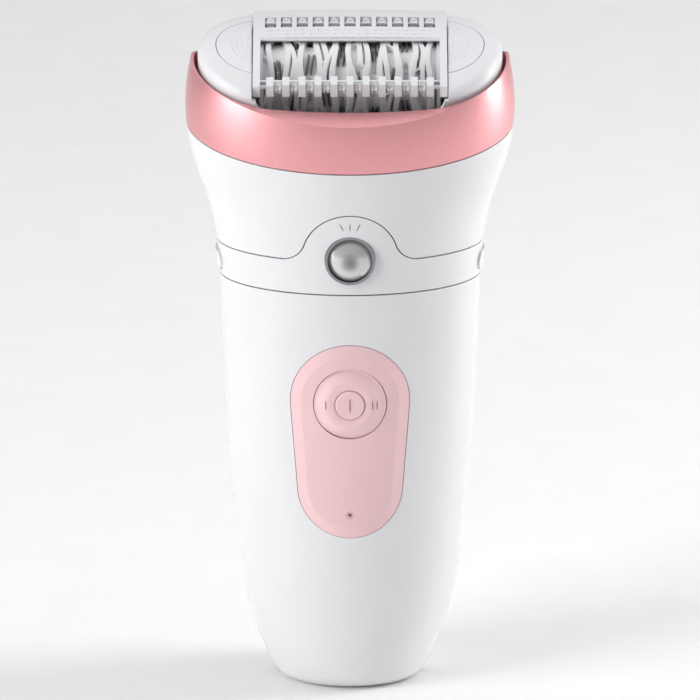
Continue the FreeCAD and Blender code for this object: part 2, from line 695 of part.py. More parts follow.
def build_pivot_head():
    body = common(oblong(val("head_length"), val("head_depth"), -val("head_floor"), 12), dome_form(0))
    doc.recompute()

    def top_edge(e):
        return e.BoundBox.ZMin > 3.0 and e.BoundBox.ZLength < 3

    body = rounded(body, 2.2, top_edge)
    wall, channel = val("head_wall"), val("channel_half")
    room = common(oblong(val("head_length") - wall, val("head_depth") - wall, -20, 12), dome_form(-1.5))
    inner_wall = channel + 1.4
    pods = [common(room, block((inner_wall, 40), (-20, 20), (-20, 20))),
            common(room, block((-40, -inner_wall), (-20, 20), (-20, 20)))]
    trough = block((-channel, channel), (-13.9, 13.9), (-20, 20))
    cap_space = block((-channel, channel), (-20, 20), (val("cap_seat"), 20))
    window = rounded(block((-19.2, 19.2), (-20, -13), (0.2, 20)), 4.5,
                     lambda e: e.BoundBox.YLength > 6 and e.BoundBox.ZMax < 0.3)
    hub_holes = rod(4.2, 50, (-25, 0, 0), "x")
    axle_holes = rod("axle_radius + running_gap", 80, (-40, 0, 0), "x")
    insets = [pod_disc(9.95, -0.75, 1, side) for side in (-1, 1)]
    piece("head_frame", tilted(cut(body, *pods, trough, cap_space, window, hub_holes, axle_holes, *insets)))
    for side, name in ((-1, "left"), (1, "right")):
        piece(f"pod_cover_{name}", tilted(pod_disc(9.8, -0.7, 0, side)))


def build_barrel():
    count, pitch = int(val("disc_count")), val("disc_pitch")
    first = -pitch * (count - 1) / 2
    discs = [rod("barrel_radius", 1.0, (first + i * pitch - 0.5, 0, 0), "x") for i in range(count)]
    core = rod(4.4, 36.8, (-18.4, 0, 0), "x")
    ends = [rod(7.9, 0.8, (x, 0, 0), "x") for x in (-18.4, 17.6)]
    hub = rod(3.9, 43.2, (-21.5, 0, 0), "x")
    bore = rod("axle_radius + running_gap", 60, (-30, 0, 0), "x")
    spots = [(5.8 * math.cos(math.radians(45 + 90 * i)), 5.8 * math.sin(math.radians(45 + 90 * i))) for i in range(4)]
    rod_holes = [rod(0.55, 60, (-30, y, z), "x") for y, z in spots]
    piece("barrel_core", tilted(cut(fuse(core, hub, *ends, *discs), bore, *rod_holes)))
    gaps = [first + (i + 0.5) * pitch for i in range(count - 1)]
    fixed = [ring(8.05, 4.4, 0.3, (x - 0.65, 0, 0), "x") for x in gaps]
    piece("fixed_tweezers", tilted(*[cut(blade, *rod_holes) for blade in fixed]))
    moving = [ring(8.05, 4.75, 0.3, (x + 0.35, 0, 0), "x") for x in gaps]
    bars = [rod(0.45, 36.4, (-18.0, y, z), "x") for y, z in spots]
    piece("moving_tweezers", tilted(*[cut(blade, *bars) for blade in moving]))
    piece("push_rods", tilted(*bars))


# ---------------------------------------------------------------- massage cap, in the head's frame
REAR_ROLLER = (9.1, 8.0)  # where each roller's axle is, as depth and height
FRONT_ROLLER = (-12.0, 5.6)


def build_cap():
    count, pitch = int(val("disc_count")), val("disc_pitch")
    centres = [(i - (count - 1) / 2) * pitch for i in range(count)]
    cap_half, rail = val("cap_half"), val("rail_inner")
    seat = val("cap_seat") + 0.1
    roof = dome_form(0.3)
    rails = [block((min(a, b), max(a, b)), (-13.5, 15.3), (seat, 12)) for a, b in ((rail, cap_half), (-rail, -cap_half))]
    rear_band = block((-cap_half, cap_half), (1.3, 15.3), (seat, 12))
    link_bar = block((-rail - 0.5, rail + 0.5), (-10.5, -9.9), (4.3, 6.0))
    lip = block((-rail - 0.5, rail + 0.5), (0.75, 1.6), (8.8, 9.2))
    fingers = [block((x - 0.73, x + 0.73), (-13.4, -11.2), (seat, 12)) for x in centres]
    fingers += [block((x - 0.73, x + 0.73), (-11.5, -9.9), (seat, 6.0)) for x in centres]
    body = common(fuse(*rails, rear_band, *fingers, link_bar), roof)
    slots = [block((x - 1.15, x + 1.15), (5.6, 10.6), (5.0, 12)) for x in centres]
    pin_holes = [rod(0.46, 2 * (rail + 0.8), (-(rail + 0.8), y, z), "x") for y, z in (REAR_ROLLER, FRONT_ROLLER)]
    barrel_room = rod("barrel_room", 37.1, (-18.55, 0, 0), "x")
    frame = fuse(cut(body, *slots, *pin_holes, barrel_room), lip)
    piece("cap_frame", tilted(frame))
    gaps = [(a + b) / 2 for a, b in zip(centres, centres[1:])]
    piece("front_roller", tilted(roller(gaps, pitch - 1.46 - 0.24, FRONT_ROLLER, val("roller_radius"))))
    piece("rear_roller", tilted(roller(centres, 1.8, REAR_ROLLER, val("roller_radius"))))


def roller(places, width, centre, radius):
    """Ribbed rings on one thin axle, which turns in the cap's holes."""
    y, z = centre
    reach = val("rail_inner") + 0.6
    axle = rod(0.4, 2 * reach, (-reach, y, z), "x")
    rings = [rod(radius, width, (x - width / 2, y, z), "x") for x in places]
    grooves = []
    for i in range(8):
        angle = math.radians(45 * i)
        at = (-reach, y + radius * math.cos(angle), z + radius * math.sin(angle))
        grooves.append(rod(0.28, 2 * reach, at, "x"))
    return cut(fuse(axle, *rings), *grooves)


# ---------------------------------------------------------------- make, check and write
build_casing()
build_panel()
build_inlet()
build_neck()
build_release_buttons()
build_lamp()
build_dial()
build_motor()
build_power()
build_chassis()
build_gears()
build_head_base()
build_pivot_head()
build_barrel()
build_cap()
doc.recompute()

for obj in doc.Objects:
    if "Invalid" in obj.State or "Error" in obj.State:
        raise SystemExit(f"{obj.Name} ({obj.Label}) failed: {obj.State}")
os.makedirs("parts", exist_ok=True)
for name, obj in pieces.items():
    shape = obj.Shape
    if shape.isNull() or not shape.isValid() or not shape.Solids:
        raise SystemExit(f"{name} has no valid solid")
    shape.exportStep(f"parts/{name}.step")
    print(f"{name}: {len(shape.Solids)} solids, {shape.Volume:.1f} mm3")
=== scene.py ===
"""Looks for the cordless epilator: materials for its CAD pieces and detailed pieces for the barrel, rollers,
cap, band, pod covers and dial. Metres, in the CAD model's frame: +Z up, front towards -Y. Pieces are built in
millimetres, and HEAD places those of the tilted head, whose own X runs along the barrel's axle."""

import json
import math

import bmesh
import bpy
from mathutils import Matrix, Vector
from mathutils.bvhtree import BVHTree


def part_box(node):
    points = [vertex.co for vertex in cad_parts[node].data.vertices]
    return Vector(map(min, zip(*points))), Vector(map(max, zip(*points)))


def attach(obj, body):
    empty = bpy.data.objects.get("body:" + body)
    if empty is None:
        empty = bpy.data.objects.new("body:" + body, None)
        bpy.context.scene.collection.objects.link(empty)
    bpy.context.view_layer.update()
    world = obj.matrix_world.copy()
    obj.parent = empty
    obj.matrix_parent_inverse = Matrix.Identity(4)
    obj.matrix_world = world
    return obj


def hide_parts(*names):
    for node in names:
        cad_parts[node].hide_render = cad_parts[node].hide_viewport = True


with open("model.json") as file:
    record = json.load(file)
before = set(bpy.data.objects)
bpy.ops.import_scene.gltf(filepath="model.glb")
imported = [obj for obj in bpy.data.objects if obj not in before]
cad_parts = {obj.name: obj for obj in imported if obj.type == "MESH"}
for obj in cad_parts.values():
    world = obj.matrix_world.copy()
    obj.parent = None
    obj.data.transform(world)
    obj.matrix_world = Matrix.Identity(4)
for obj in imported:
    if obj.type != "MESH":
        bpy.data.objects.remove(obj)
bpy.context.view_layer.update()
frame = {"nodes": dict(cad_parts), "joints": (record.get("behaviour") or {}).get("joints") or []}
nodes = frame["nodes"]
joints = {joint["name"]: joint for joint in frame["joints"]}

MM = 0.001
TAU = 2 * math.pi
AXIS = Vector(joints["barrel_spin"]["pos_m"])
UP = Vector(joints["cap_release"]["axis"])
TILT = math.atan2(-UP.y, UP.z)
HEAD = Matrix.Translation(AXIS) @ Matrix.Rotation(TILT, 4, "X")

# How far out a line starts that looks for a surface: in front of, above and beside the object.
FRONT_START, TOP_START, SIDE_START = -40, 20, 60


# ------------------------------------------------------------------------------------------- materials
WHITE = (0.80, 0.80, 0.815)
HEAD_WHITE = (0.78, 0.78, 0.80)
INNER_WHITE = (0.70, 0.70, 0.72)
BARREL_WHITE = (0.80, 0.80, 0.81)
FLOOR_WHITE = (0.94, 0.94, 0.94)
ROSE = (0.83, 0.375, 0.395)
PINK = (0.88, 0.59, 0.61)
DIAL_PINK = (0.89, 0.61, 0.63)

# The frosted lens's painted shading, from its middle to its edge: share of its radius, grey. The dark middle
# stands for the lamp's chip seen through the lens, the lighter ring is painted light, and the dark edge is
# painted shadow from the recess's rim.
LENS_PAINTED_SHADE_GREYS = ((0.0, 0.22), (0.22, 0.34), (0.50, 0.76), (0.84, 0.80), (1.0, 0.30))
# How far below the lens's middle the painted dark spot sits.
LENS_PAINTED_SPOT_DROP = 0.0004


class Nodes:
    """A new material and short ways to add nodes to it."""

    def __init__(self, name):
        self.material = bpy.data.materials.new(name)
        self.material.use_nodes = True
        self.tree = self.material.node_tree
        self.shader = self.tree.nodes["Principled BSDF"]

    def add(self, kind, **values):
        node = self.tree.nodes.new(kind)
        for key, value in values.items():
            if key in node.inputs.keys():
                node.inputs[key].default_value = value
            else:
                setattr(node, key, value)
        return node

    def link(self, source, output, target, socket):
        self.tree.links.new(source.outputs[output], target.inputs[socket])

    def coordinates(self):
        return self.add("ShaderNodeTexCoord")

    def noise(self, scale, detail=3.0, roughness=0.5):
        noise = self.add("ShaderNodeTexNoise", Scale=scale, Detail=detail, Roughness=roughness)
        self.link(self.coordinates(), "Object", noise, "Vector")
        return noise

    def ramp(self, source, output, stops):
        ramp = self.add("ShaderNodeValToRGB")
        elements = ramp.color_ramp.elements
        while len(elements) < len(stops):
            elements.new(0.5)
        for element, (place, colour) in zip(elements, stops):
            element.position = place
            element.color = colour
        self.link(source, output, ramp, "Fac")
        return ramp

    def map_range(self, source, output, low, high):
        made = self.add("ShaderNodeMapRange")
        made.inputs["To Min"].default_value = low
        made.inputs["To Max"].default_value = high
        self.link(source, output, made, "Value")
        return made

    def bump(self, height, output, strength, distance):
        bump = self.add("ShaderNodeBump", Strength=strength, Distance=distance)
        self.link(height, output, bump, "Height")
        self.link(bump, "Normal", self.shader, "Normal")

    def set(self, **values):
        for key, value in values.items():
            self.shader.inputs[key.replace("_", " ")].default_value = value


def shade(colour, factor):
    return (*(min(1.0, c * factor) for c in colour), 1.0)


def plastic(name, colour, rough=0.3, grain=900.0, grain_depth=0.00001, tone=0.03, coat=0.0, sheen=0.0):
    """Moulded plastic: a faint uneven tone, a roughness that drifts, and a fine moulded grain."""
    made = Nodes(name)
    cloud = made.noise(scale=60.0, detail=2.0)
    stops = [(0.35, shade(colour, 1 - tone)), (0.65, shade(colour, 1 + tone * 0.5))]
    made.link(made.ramp(cloud, "Fac", stops), "Color", made.shader, "Base Color")
    wear = made.noise(scale=180.0, detail=4.0, roughness=0.6)
    spread = made.map_range(wear, "Fac", low=rough * 0.82, high=rough * 1.22)
    made.link(spread, "Result", made.shader, "Roughness")
    made.bump(made.noise(scale=grain), "Fac", strength=0.35, distance=grain_depth)
    made.set(Coat_Weight=coat, Coat_Roughness=0.06, Sheen_Weight=sheen, Sheen_Roughness=0.4)
    return made.material


def metal(name, colour, rough=0.3, brush=(1, 1, 1), scratch=400.0, tone=0.12):
    """Metal with fine scratches, drawn out along the axis where brush is small."""
    made = Nodes(name)
    stretch = made.add("ShaderNodeMapping", Scale=brush)
    made.link(made.coordinates(), "Object", stretch, "Vector")
    noise = made.add("ShaderNodeTexNoise", Scale=scratch, Detail=5.0, Roughness=0.65)
    made.link(stretch, "Vector", noise, "Vector")
    stops = [(0.3, shade(colour, 1 - tone)), (0.7, shade(colour, 1 + tone * 0.4))]
    made.link(made.ramp(noise, "Fac", stops), "Color", made.shader, "Base Color")
    spread = made.map_range(noise, "Fac", low=rough * 0.7, high=rough * 1.35)
    made.link(spread, "Result", made.shader, "Roughness")
    made.bump(noise, "Fac", strength=0.25, distance=0.00001)
    made.set(Metallic=1.0)
    return made.material


def pearl_lacquer(name, colour):
    """Lacquer over a metallic base: fine flakes under a clear coat."""
    made = Nodes(name)
    flakes = made.add("ShaderNodeTexVoronoi", Scale=5200.0)
    made.link(made.coordinates(), "Object", flakes, "Vector")
    tint = made.map_range(flakes, "Distance", low=0.0, high=1.0)
    stops = [(0.0, shade(colour, 1.06)), (0.8, shade(colour, 0.94))]
    made.link(made.ramp(tint, "Result", stops), "Color", made.shader, "Base Color")
    spread = made.map_range(made.noise(scale=160.0), "Fac", low=0.28, high=0.38)
    made.link(spread, "Result", made.shader, "Roughness")
    made.bump(flakes, "Distance", strength=0.10, distance=0.000008)
    made.set(Metallic=0.85, Coat_Weight=0.35, Coat_Roughness=0.15)
    return made.material


def lens_with_painted_shade(name):
    """Frosted plastic over a lamp, with painted shading in its colour: a soft dark spot stands for the chip
    seen through it, a lighter ring is painted light, and a darker edge is painted shadow.
    """
    low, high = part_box("lamp_lens")
    made = Nodes(name)
    # Distance from the painted dark spot, which sits a little below the lens's middle.
    reach = made.add("ShaderNodeVectorMath", operation="DISTANCE")
    reach.inputs[1].default_value = (0.0, low.y, (low.z + high.z) / 2 - LENS_PAINTED_SPOT_DROP)
    made.link(made.coordinates(), "Object", reach, 0)
    share = made.add("ShaderNodeMapRange")
    share.inputs["From Max"].default_value = (high.x - low.x) / 2
    made.link(reach, "Value", share, "Value")
    stops = [(place, (grey, grey, grey, 1.0)) for place, grey in LENS_PAINTED_SHADE_GREYS]
    made.link(made.ramp(share, "Result", stops), "Color", made.shader, "Base Color")
    spread = made.map_range(made.noise(scale=300.0, detail=2.0), "Fac", low=0.14, high=0.22)
    made.link(spread, "Result", made.shader, "Roughness")
    made.set(Transmission_Weight=0.25, IOR=1.49, Metallic=0.35, Coat_Weight=0.8, Coat_Roughness=0.08)
    made.bump(made.noise(scale=900.0, detail=2.0), "Fac", strength=0.05, distance=0.000005)
    return made.material


def dress(material, *names):
    for name in names:
        mesh = nodes[name].data
        mesh.materials.clear()
        mesh.materials.append(material)


# Casings, covers and barrel
body_white = plastic(
    "body_white", WHITE, rough=0.22, grain=1400.0, grain_depth=0.000006, tone=0.012, coat=0.35
)
head_white = plastic("head_white", HEAD_WHITE, rough=0.34, grain=1500.0, tone=0.015)
inner_white = plastic("inner_white", INNER_WHITE, rough=0.42, grain=1200.0)
barrel_white = plastic("barrel_white", BARREL_WHITE, rough=0.30, grain=2000.0, tone=0.02)
rose_metallic = pearl_lacquer("rose_metallic", ROSE)

# Controls and marks
panel_pink = plastic("panel_pink", PINK, rough=0.55, grain=3200.0, grain_depth=0.00002, tone=0.02, sheen=0.15)
dial_pink = plastic(
    "dial_pink", DIAL_PINK, rough=0.5, grain=3200.0, grain_depth=0.000015, tone=0.02, sheen=0.1
)
mark_pink = plastic("mark_pink", (0.42, 0.20, 0.23), rough=0.5, grain=2500.0, tone=0.04)
mark_grey = plastic("mark_grey", (0.20, 0.20, 0.22), rough=0.45, grain=2500.0, tone=0.06)
# Dark rubber for the seals, made darker still so the thin gaps they fill read as lines of painted shade.
seal_grey = plastic("seal_grey", (0.06, 0.06, 0.065), rough=0.6, grain=1600.0, tone=0.08)
indicator = plastic("indicator", (0.22, 0.10, 0.11), rough=0.25, grain=1500.0, tone=0.05, coat=0.4)

# Lamp
chrome_trim = metal("chrome_trim", (0.30, 0.30, 0.32), rough=0.2, scratch=900.0, tone=0.05)
reflector_silver = metal("reflector_silver", (0.86, 0.86, 0.88), rough=0.16, scratch=600.0, tone=0.05)
# The lens colour holds painted shading: a dark spot for the chip behind it, a painted light ring and a
# painted shadow at its edge.
lens_painted_shade = lens_with_painted_shade("lens_painted_shade")
led_amber = plastic("led_amber", (0.24, 0.22, 0.16), rough=0.25, grain=1200.0, tone=0.05)

# Works
steel = metal("steel", (0.55, 0.56, 0.58), rough=0.28, brush=(0.1, 1, 1), scratch=1500.0)
tweezer_steel = metal("tweezer_steel", (0.12, 0.12, 0.13), rough=0.40, brush=(1, 0.2, 1), scratch=2500.0)
gear_nylon = plastic("gear_nylon", (0.78, 0.76, 0.68), rough=0.45, grain=1200.0, tone=0.04)
motor_steel = metal("motor_steel", (0.50, 0.51, 0.53), rough=0.35, brush=(1, 1, 0.1), scratch=900.0)
black_plastic = plastic("black_plastic", (0.025, 0.025, 0.028), rough=0.42, tone=0.15)
chassis_grey = plastic("chassis_grey", (0.36, 0.37, 0.39), rough=0.5, grain=800.0, tone=0.06)
bronze = metal("bronze", (0.50, 0.34, 0.17), rough=0.5, scratch=1800.0, tone=0.25)
magnet = metal("magnet", (0.09, 0.09, 0.10), rough=0.6, scratch=1800.0, tone=0.3)
copper = metal("copper", (0.70, 0.30, 0.14), brush=(1, 1, 0.15), scratch=2600.0, tone=0.3)
cell_wrap = plastic("cell_wrap", (0.10, 0.26, 0.14), rough=0.25, grain=300.0, tone=0.06, coat=0.3)
nickel = metal("nickel", (0.62, 0.60, 0.55), rough=0.25, scratch=1500.0)
board_green = plastic("board_green", (0.02, 0.13, 0.06), rough=0.35, grain=700.0, tone=0.3, coat=0.4)

dress(body_white, "front_housing", "rear_housing", "neck_ring", "head_base_shell")
dress(body_white, "release_button_left", "release_button_right")
dress(head_white, "head_frame", "cap_frame")
dress(inner_white, "top_deck", "lamp_housing")
dress(rose_metallic, "collar_band")
dress(dial_pink, "lock_button")
# The seals' dark colour is partly their rubber and partly painted shade in the gaps round them.
dress(seal_grey, "housing_seal", "neck_gasket", "shaft_seal")
dress(panel_pink, "control_panel", "status_light")
dress(chrome_trim, "lens_bezel")
dress(reflector_silver, "lamp_reflector")
dress(lens_painted_shade, "lamp_lens")
dress(led_amber, "lamp_led")
dress(steel, "deck_screws", "motor_screws", "motor_shaft", "crown_axle")
dress(steel, "idler_pin", "pivot_axle", "push_rods")
dress(gear_nylon, "motor_pinion", "barrel_gear", "idler_gear", "drive_pinion", "crown_gear")
dress(motor_steel, "motor_can")
dress(black_plastic, "motor_end_cap", "charging_inlet", "board_components", "selector_switch")
dress(chassis_grey, "chassis", "gear_frame")
dress(bronze, "motor_bearings")
dress(magnet, "motor_magnets")
dress(copper, "motor_armature", "motor_commutator")
dress(cell_wrap, "battery_cell")
dress(nickel, "battery_tabs", "inlet_pins")
dress(board_green, "circuit_board")


# ------------------------------------------------------------------------------------------- mesh helpers
def smoothstep(low, high, value):
    t = min(1.0, max(0.0, (value - low) / (high - low)))
    return t * t * (3 - 2 * t)


def circle(radius, height, sides):
    """Points round the Z axis."""
    angles = [TAU * j / sides for j in range(sides)]
    return [Vector((radius * math.cos(a), radius * math.sin(a), height)) for a in angles]


def circle_x(x, radius, centre, sides):
    """Points round a line along X, through centre, which is (y, z)."""
    angles = [TAU * j / sides for j in range(sides)]
    return [(x, centre[0] + radius * math.cos(a), centre[1] + radius * math.sin(a)) for a in angles]


def circle_y(y, radius, centre_z, sides):
    """Points round a line along Y, at a height of centre_z."""
    angles = [TAU * j / sides for j in range(sides)]
    return [(radius * math.cos(a), y, centre_z + radius * math.sin(a)) for a in angles]


def smooth_shade(obj, crease):
    """Smooth shading, with edges that turn by more than crease degrees kept sharp."""
    mesh = obj.data
    mesh.polygons.foreach_set("use_smooth", [True] * len(mesh.polygons))
    limit = math.radians(crease)
    work = bmesh.new()
    work.from_mesh(mesh)
    for edge in work.edges:
        if len(edge.link_faces) == 2 and edge.calc_face_angle(0.0) > limit:
            edge.smooth = False
    work.to_mesh(mesh)
    work.free()


def new_object(name, points, faces, material, body, matrix, crease):
    """A mesh from points in millimetres, which rides on a CAD body."""
    mesh = bpy.data.meshes.new(name)
    mesh.from_pydata([Vector(p) * MM for p in points], [], faces)
    mesh.validate()
    if matrix is not None:
        mesh.transform(matrix)
    work = bmesh.new()
    work.from_mesh(mesh)
    bmesh.ops.recalc_face_normals(work, faces=work.faces)
    work.to_mesh(mesh)
    work.free()
    mesh.materials.append(material)
    obj = bpy.data.objects.new(name, mesh)
    bpy.context.scene.collection.objects.link(obj)
    smooth_shade(obj, crease)
    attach(obj, body)
    return obj


class Builder:
    """Collects points and faces, in millimetres, for one mesh."""

    def __init__(self):
        self.points = []
        self.faces = []

    def add_rings(self, rings):
        """Adds rings with the same number of points. Gives the first point's number and that count."""
        start = len(self.points)
        for ring in rings:
            self.points.extend(ring)
        return start, len(rings[0])

    def skin(self, start, count, low, high):
        """Faces between the ring numbered low and the ring numbered high."""
        a, b = start + low * count, start + high * count
        for j in range(count):
            after = (j + 1) % count
            self.faces.append((a + j, a + after, b + after, b + j))

    def closed_tube(self, rings):
        """Joins rings of points into a skin and caps both ends."""
        start, count = self.add_rings(rings)
        for i in range(len(rings) - 1):
            self.skin(start, count, i, i + 1)
        last = start + (len(rings) - 1) * count
        self.faces.append(tuple(start + j for j in reversed(range(count))))
        self.faces.append(tuple(last + j for j in range(count)))

    def pierced_tube(self, rings):
        """Joins the rings and then the last to the first, for a ring-shaped solid."""
        start, count = self.add_rings(rings)
        for i in range(len(rings)):
            self.skin(start, count, i, (i + 1) % len(rings))

    def lathe_x(self, profile, centre=(0, 0), sides=32):
        """Turns a list of (x, radius) round a line along X, with end caps."""
        self.closed_tube([circle_x(x, radius, centre, sides) for x, radius in profile])

    def dome(self, centre, radius, height, turn, sides, levels=3):
        """A small rounded bump that stands out along the third column of turn."""
        rings = [circle(radius, -height, sides)]
        for i in range(levels + 1):
            rise = math.pi / 2 * i / (levels + 0.5)
            rings.append(circle(radius * math.cos(rise), height * math.sin(rise), sides))
        self.closed_tube([[centre + turn @ point for point in ring] for ring in rings])

    def make(self, name, material, body, matrix, crease):
        return new_object(name, self.points, self.faces, material, body, matrix, crease)


def surface_of(obj, matrix=None):
    """A search tree over an object's surface."""
    points = [v.co.copy() for v in obj.data.vertices]
    if matrix is not None:
        points = [matrix @ p for p in points]
    return BVHTree.FromPolygons(points, [tuple(p.vertices) for p in obj.data.polygons])


def hit_from_front(tree, x, z):
    """Where a line from the front meets the surface, in millimetres, and the surface's normal there."""
    hit, normal, _, _ = tree.ray_cast(Vector((x, FRONT_START, z)) * MM, Vector((0, 1, 0)))
    return hit / MM, normal


def turn_to(normal):
    """A rotation whose third column is the normal."""
    return normal.to_track_quat("Z", "Y").to_matrix()


# ------------------------------------------------------------------------------------------- tweezer barrel
DISC_COUNT = 11
PITCH = 3.24
BARREL_HALF, BARREL_STEPS, BARREL_SIDES = 17.55, 300, 180
CORE_RADIUS, RIM_RADIUS, PIT_RADIUS = 7.2, 8.25, 6.2

# Each disc's rim sways along X three times a turn, and a branch leaves it to one side. DISC_TURN shifts the
# waves from one disc to the next, in radians, so that no two discs look alike.
WAVES = 3
DISC_TURN = 2.399
RIM_SWAY, BRANCH_REACH, BRANCH_TURN = 0.42, 1.55, 1.7
RIDGE_HALF, RIDGE_EDGE, RIDGE_REACH, BRANCH_DROP = 0.5, 0.22, 2.9, 0.06
BRANCH_LEAVES, BRANCH_RETURNS = (0.15, 0.75), (0.92, 1.0)

# A pit fades out over these shares of the pitch across its gap, and of a wave at its start and its end.
PIT_TURN, PIT_ACROSS, PIT_STARTS, PIT_ENDS = 0.37, (0.10, 0.16), (0.1, 0.16), (0.5, 0.56)

# End flanges and hubs: (x, radius)
FLANGE = ((17.5, 7.3), (17.6, 7.85), (18.25, 7.85), (18.4, 7.6))
HUB = ((18.35, 3.9), (21.4, 3.9))

BLADE_INNER, BLADE_OUTER, BLADE_THICKNESS, BLADE_STEPS = 5.8, 8.1, 0.24, 8
BLADES_PER_GAP, BLADE_SWEEP, BLADE_SLANT, BLADE_ROUNDING = 3, 0.62, 0.55, 0.5
GAP_TURN = 0.92
FIXED_OFFSET, MOVING_OFFSET = -0.62, 0.36


def disc_x(number):
    """Where a disc stands along the barrel. Disc 0 is at the left, and half numbers are gaps."""
    return (number - (DISC_COUNT - 1) / 2) * PITCH


def rim_x(number, angle):
    return disc_x(number) + RIM_SWAY * math.sin(WAVES * angle + number * DISC_TURN)


def branch_x(number, angle):
    side = 1 if number % 2 else -1
    turn = (angle * WAVES / TAU + number * DISC_TURN / TAU * BRANCH_TURN) % 1.0
    away = smoothstep(*BRANCH_LEAVES, turn) * (1 - smoothstep(*BRANCH_RETURNS, turn))
    return rim_x(number, angle) + side * BRANCH_REACH * away


def ridge_share(x, angle):
    """1 on top of a rim or branch, 0 away from them."""
    share = 0.0
    for number in range(DISC_COUNT):
        if abs(x - disc_x(number)) > RIDGE_REACH:
            continue
        near = min(abs(x - rim_x(number, angle)), abs(x - branch_x(number, angle)) + BRANCH_DROP)
        share = max(share, 1 - smoothstep(RIDGE_HALF, RIDGE_HALF + RIDGE_EDGE, near))
    return share


def pit_share(x, angle):
    """1 at the bottom of a pit between two discs, 0 away from it."""
    gap = ((x / PITCH) % 1.0) - 0.5
    turn = (angle * WAVES / TAU + PIT_TURN * math.floor(x / PITCH)) % 1.0
    across = 1 - smoothstep(*PIT_ACROSS, abs(gap))
    return across * smoothstep(*PIT_STARTS, turn) * (1 - smoothstep(*PIT_ENDS, turn))


def barrel_radius(x, angle):
    ridge = ridge_share(x, angle)
    floor = CORE_RADIUS - (CORE_RADIUS - PIT_RADIUS) * pit_share(x, angle) * (1 - ridge)
    return floor + (RIM_RADIUS - CORE_RADIUS) * ridge


def build_barrel():
    """The barrel's skin with its ridges and pits, and a flange and a hub at each end."""
    rings = []
    for i in range(BARREL_STEPS + 1):
        x = -BARREL_HALF + 2 * BARREL_HALF * i / BARREL_STEPS
        ring = []
        for j in range(BARREL_SIDES):
            angle = TAU * j / BARREL_SIDES
            radius = barrel_radius(x, angle)
            ring.append((x, radius * math.cos(angle), radius * math.sin(angle)))
        rings.append(ring)
    made = Builder()
    made.closed_tube(rings)
    for side in (-1, 1):
        made.lathe_x([(side * x, radius) for x, radius in FLANGE], sides=96)
        made.lathe_x([(side * x, radius) for x, radius in HUB], sides=48)
    barrel = made.make("barrel_body", barrel_white, "tweezer_barrel", HEAD, crease=50.0)
    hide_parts("barrel_core")


def blade_rings(middle, start, slant):
    """One blade's sections, from its start round the barrel, with a rounded outer edge."""
    rings = []
    for k in range(BLADE_STEPS + 1):
        along = k / BLADE_STEPS
        angle = start + BLADE_SWEEP * along
        x = middle + slant * (along - 0.5)
        tip = BLADE_OUTER - BLADE_ROUNDING * abs(2 * along - 1) ** 3
        corners = ((0, BLADE_INNER), (BLADE_THICKNESS, BLADE_INNER), (BLADE_THICKNESS, tip), (0, tip))
        rings.append([(x + dx, radius * math.cos(angle), radius * math.sin(angle)) for dx, radius in corners])
    return rings


def build_tweezers(name, node, body, offset):
    """Thin steel blades between the discs, three to a turn, each slanted across its gap."""
    made = Builder()
    for gap in range(DISC_COUNT - 1):
        for blade in range(BLADES_PER_GAP):
            start = TAU * (blade / BLADES_PER_GAP) + GAP_TURN * gap
            slant = BLADE_SLANT * (1 if (gap + blade) % 2 else -1)
            made.closed_tube(blade_rings(disc_x(gap + 0.5) + offset, start, slant))
    blades = made.make(name, tweezer_steel, body, HEAD, crease=30.0)
    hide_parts(node)


# ------------------------------------------------------------------------------------------- rollers and cap
# Each roller row: core radius, radius over the nubs, nubs round it, rows of nubs on each roller.
FRONT_NUBS = (0.75, 1.28, 6, 2)
REAR_NUBS = (0.6, 1.22, 5, 1)
FRONT_ROLLER_GAP, REAR_ROLLER_HALF = 0.86, 0.85
ROLLER_PIN = ((-18.7, 0.4), (18.7, 0.4))
NUB_POWER, NUB_STEPS = 0.7, 8

DOT_ROWS = (2.5, 4.1)
DOTS_EACH_SIDE = 10
DOT_RADIUS, DOT_HEIGHT = 0.32, 0.26


def knurled(made, x_low, x_high, centre, core, tip, count, rows):
    """A short roller whose skin stands out in rows of rounded nubs."""
    steps, sides = NUB_STEPS * rows, NUB_STEPS * count
    rings = []
    for i in range(steps + 1):
        along = i / steps
        x = x_low + (x_high - x_low) * along
        row = abs(math.sin(math.pi * rows * along)) ** NUB_POWER
        ring = []
        for j in range(sides):
            angle = TAU * j / sides
            nub = max(0.0, math.cos(count * angle)) ** NUB_POWER
            radius = core + (tip - core) * nub * row
            ring.append((x, centre[0] + radius * math.cos(angle), centre[1] + radius * math.sin(angle)))
        rings.append(ring)
    made.closed_tube(rings)


def build_roller_row(row, spans, nubs):
    """Knurled rollers on one pin, where the row's joint has its axis. The row is front or rear."""
    place = HEAD.inverted() @ Vector(joints[f"{row}_roller_spin"]["pos_m"])
    centre = (place.y / MM, place.z / MM)
    made = Builder()
    for low, high in spans:
        knurled(made, low, high, centre, *nubs)
    made.lathe_x(ROLLER_PIN, centre, sides=16)
    name, body = f"{row}_roller_nubs", f"{row}_rollers"
    rollers = made.make(name, barrel_white, body, HEAD, crease=60.0)
    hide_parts(f"{row}_roller")


def build_rollers():
    """Front rollers between the comb's posts, and rear rollers in line with the discs."""
    discs = [disc_x(number) for number in range(DISC_COUNT)]
    front = [(low + FRONT_ROLLER_GAP, high - FRONT_ROLLER_GAP) for low, high in zip(discs, discs[1:])]
    rear = [(disc - REAR_ROLLER_HALF, disc + REAR_ROLLER_HALF) for disc in discs]
    build_roller_row("front", front, FRONT_NUBS)
    build_roller_row("rear", rear, REAR_NUBS)


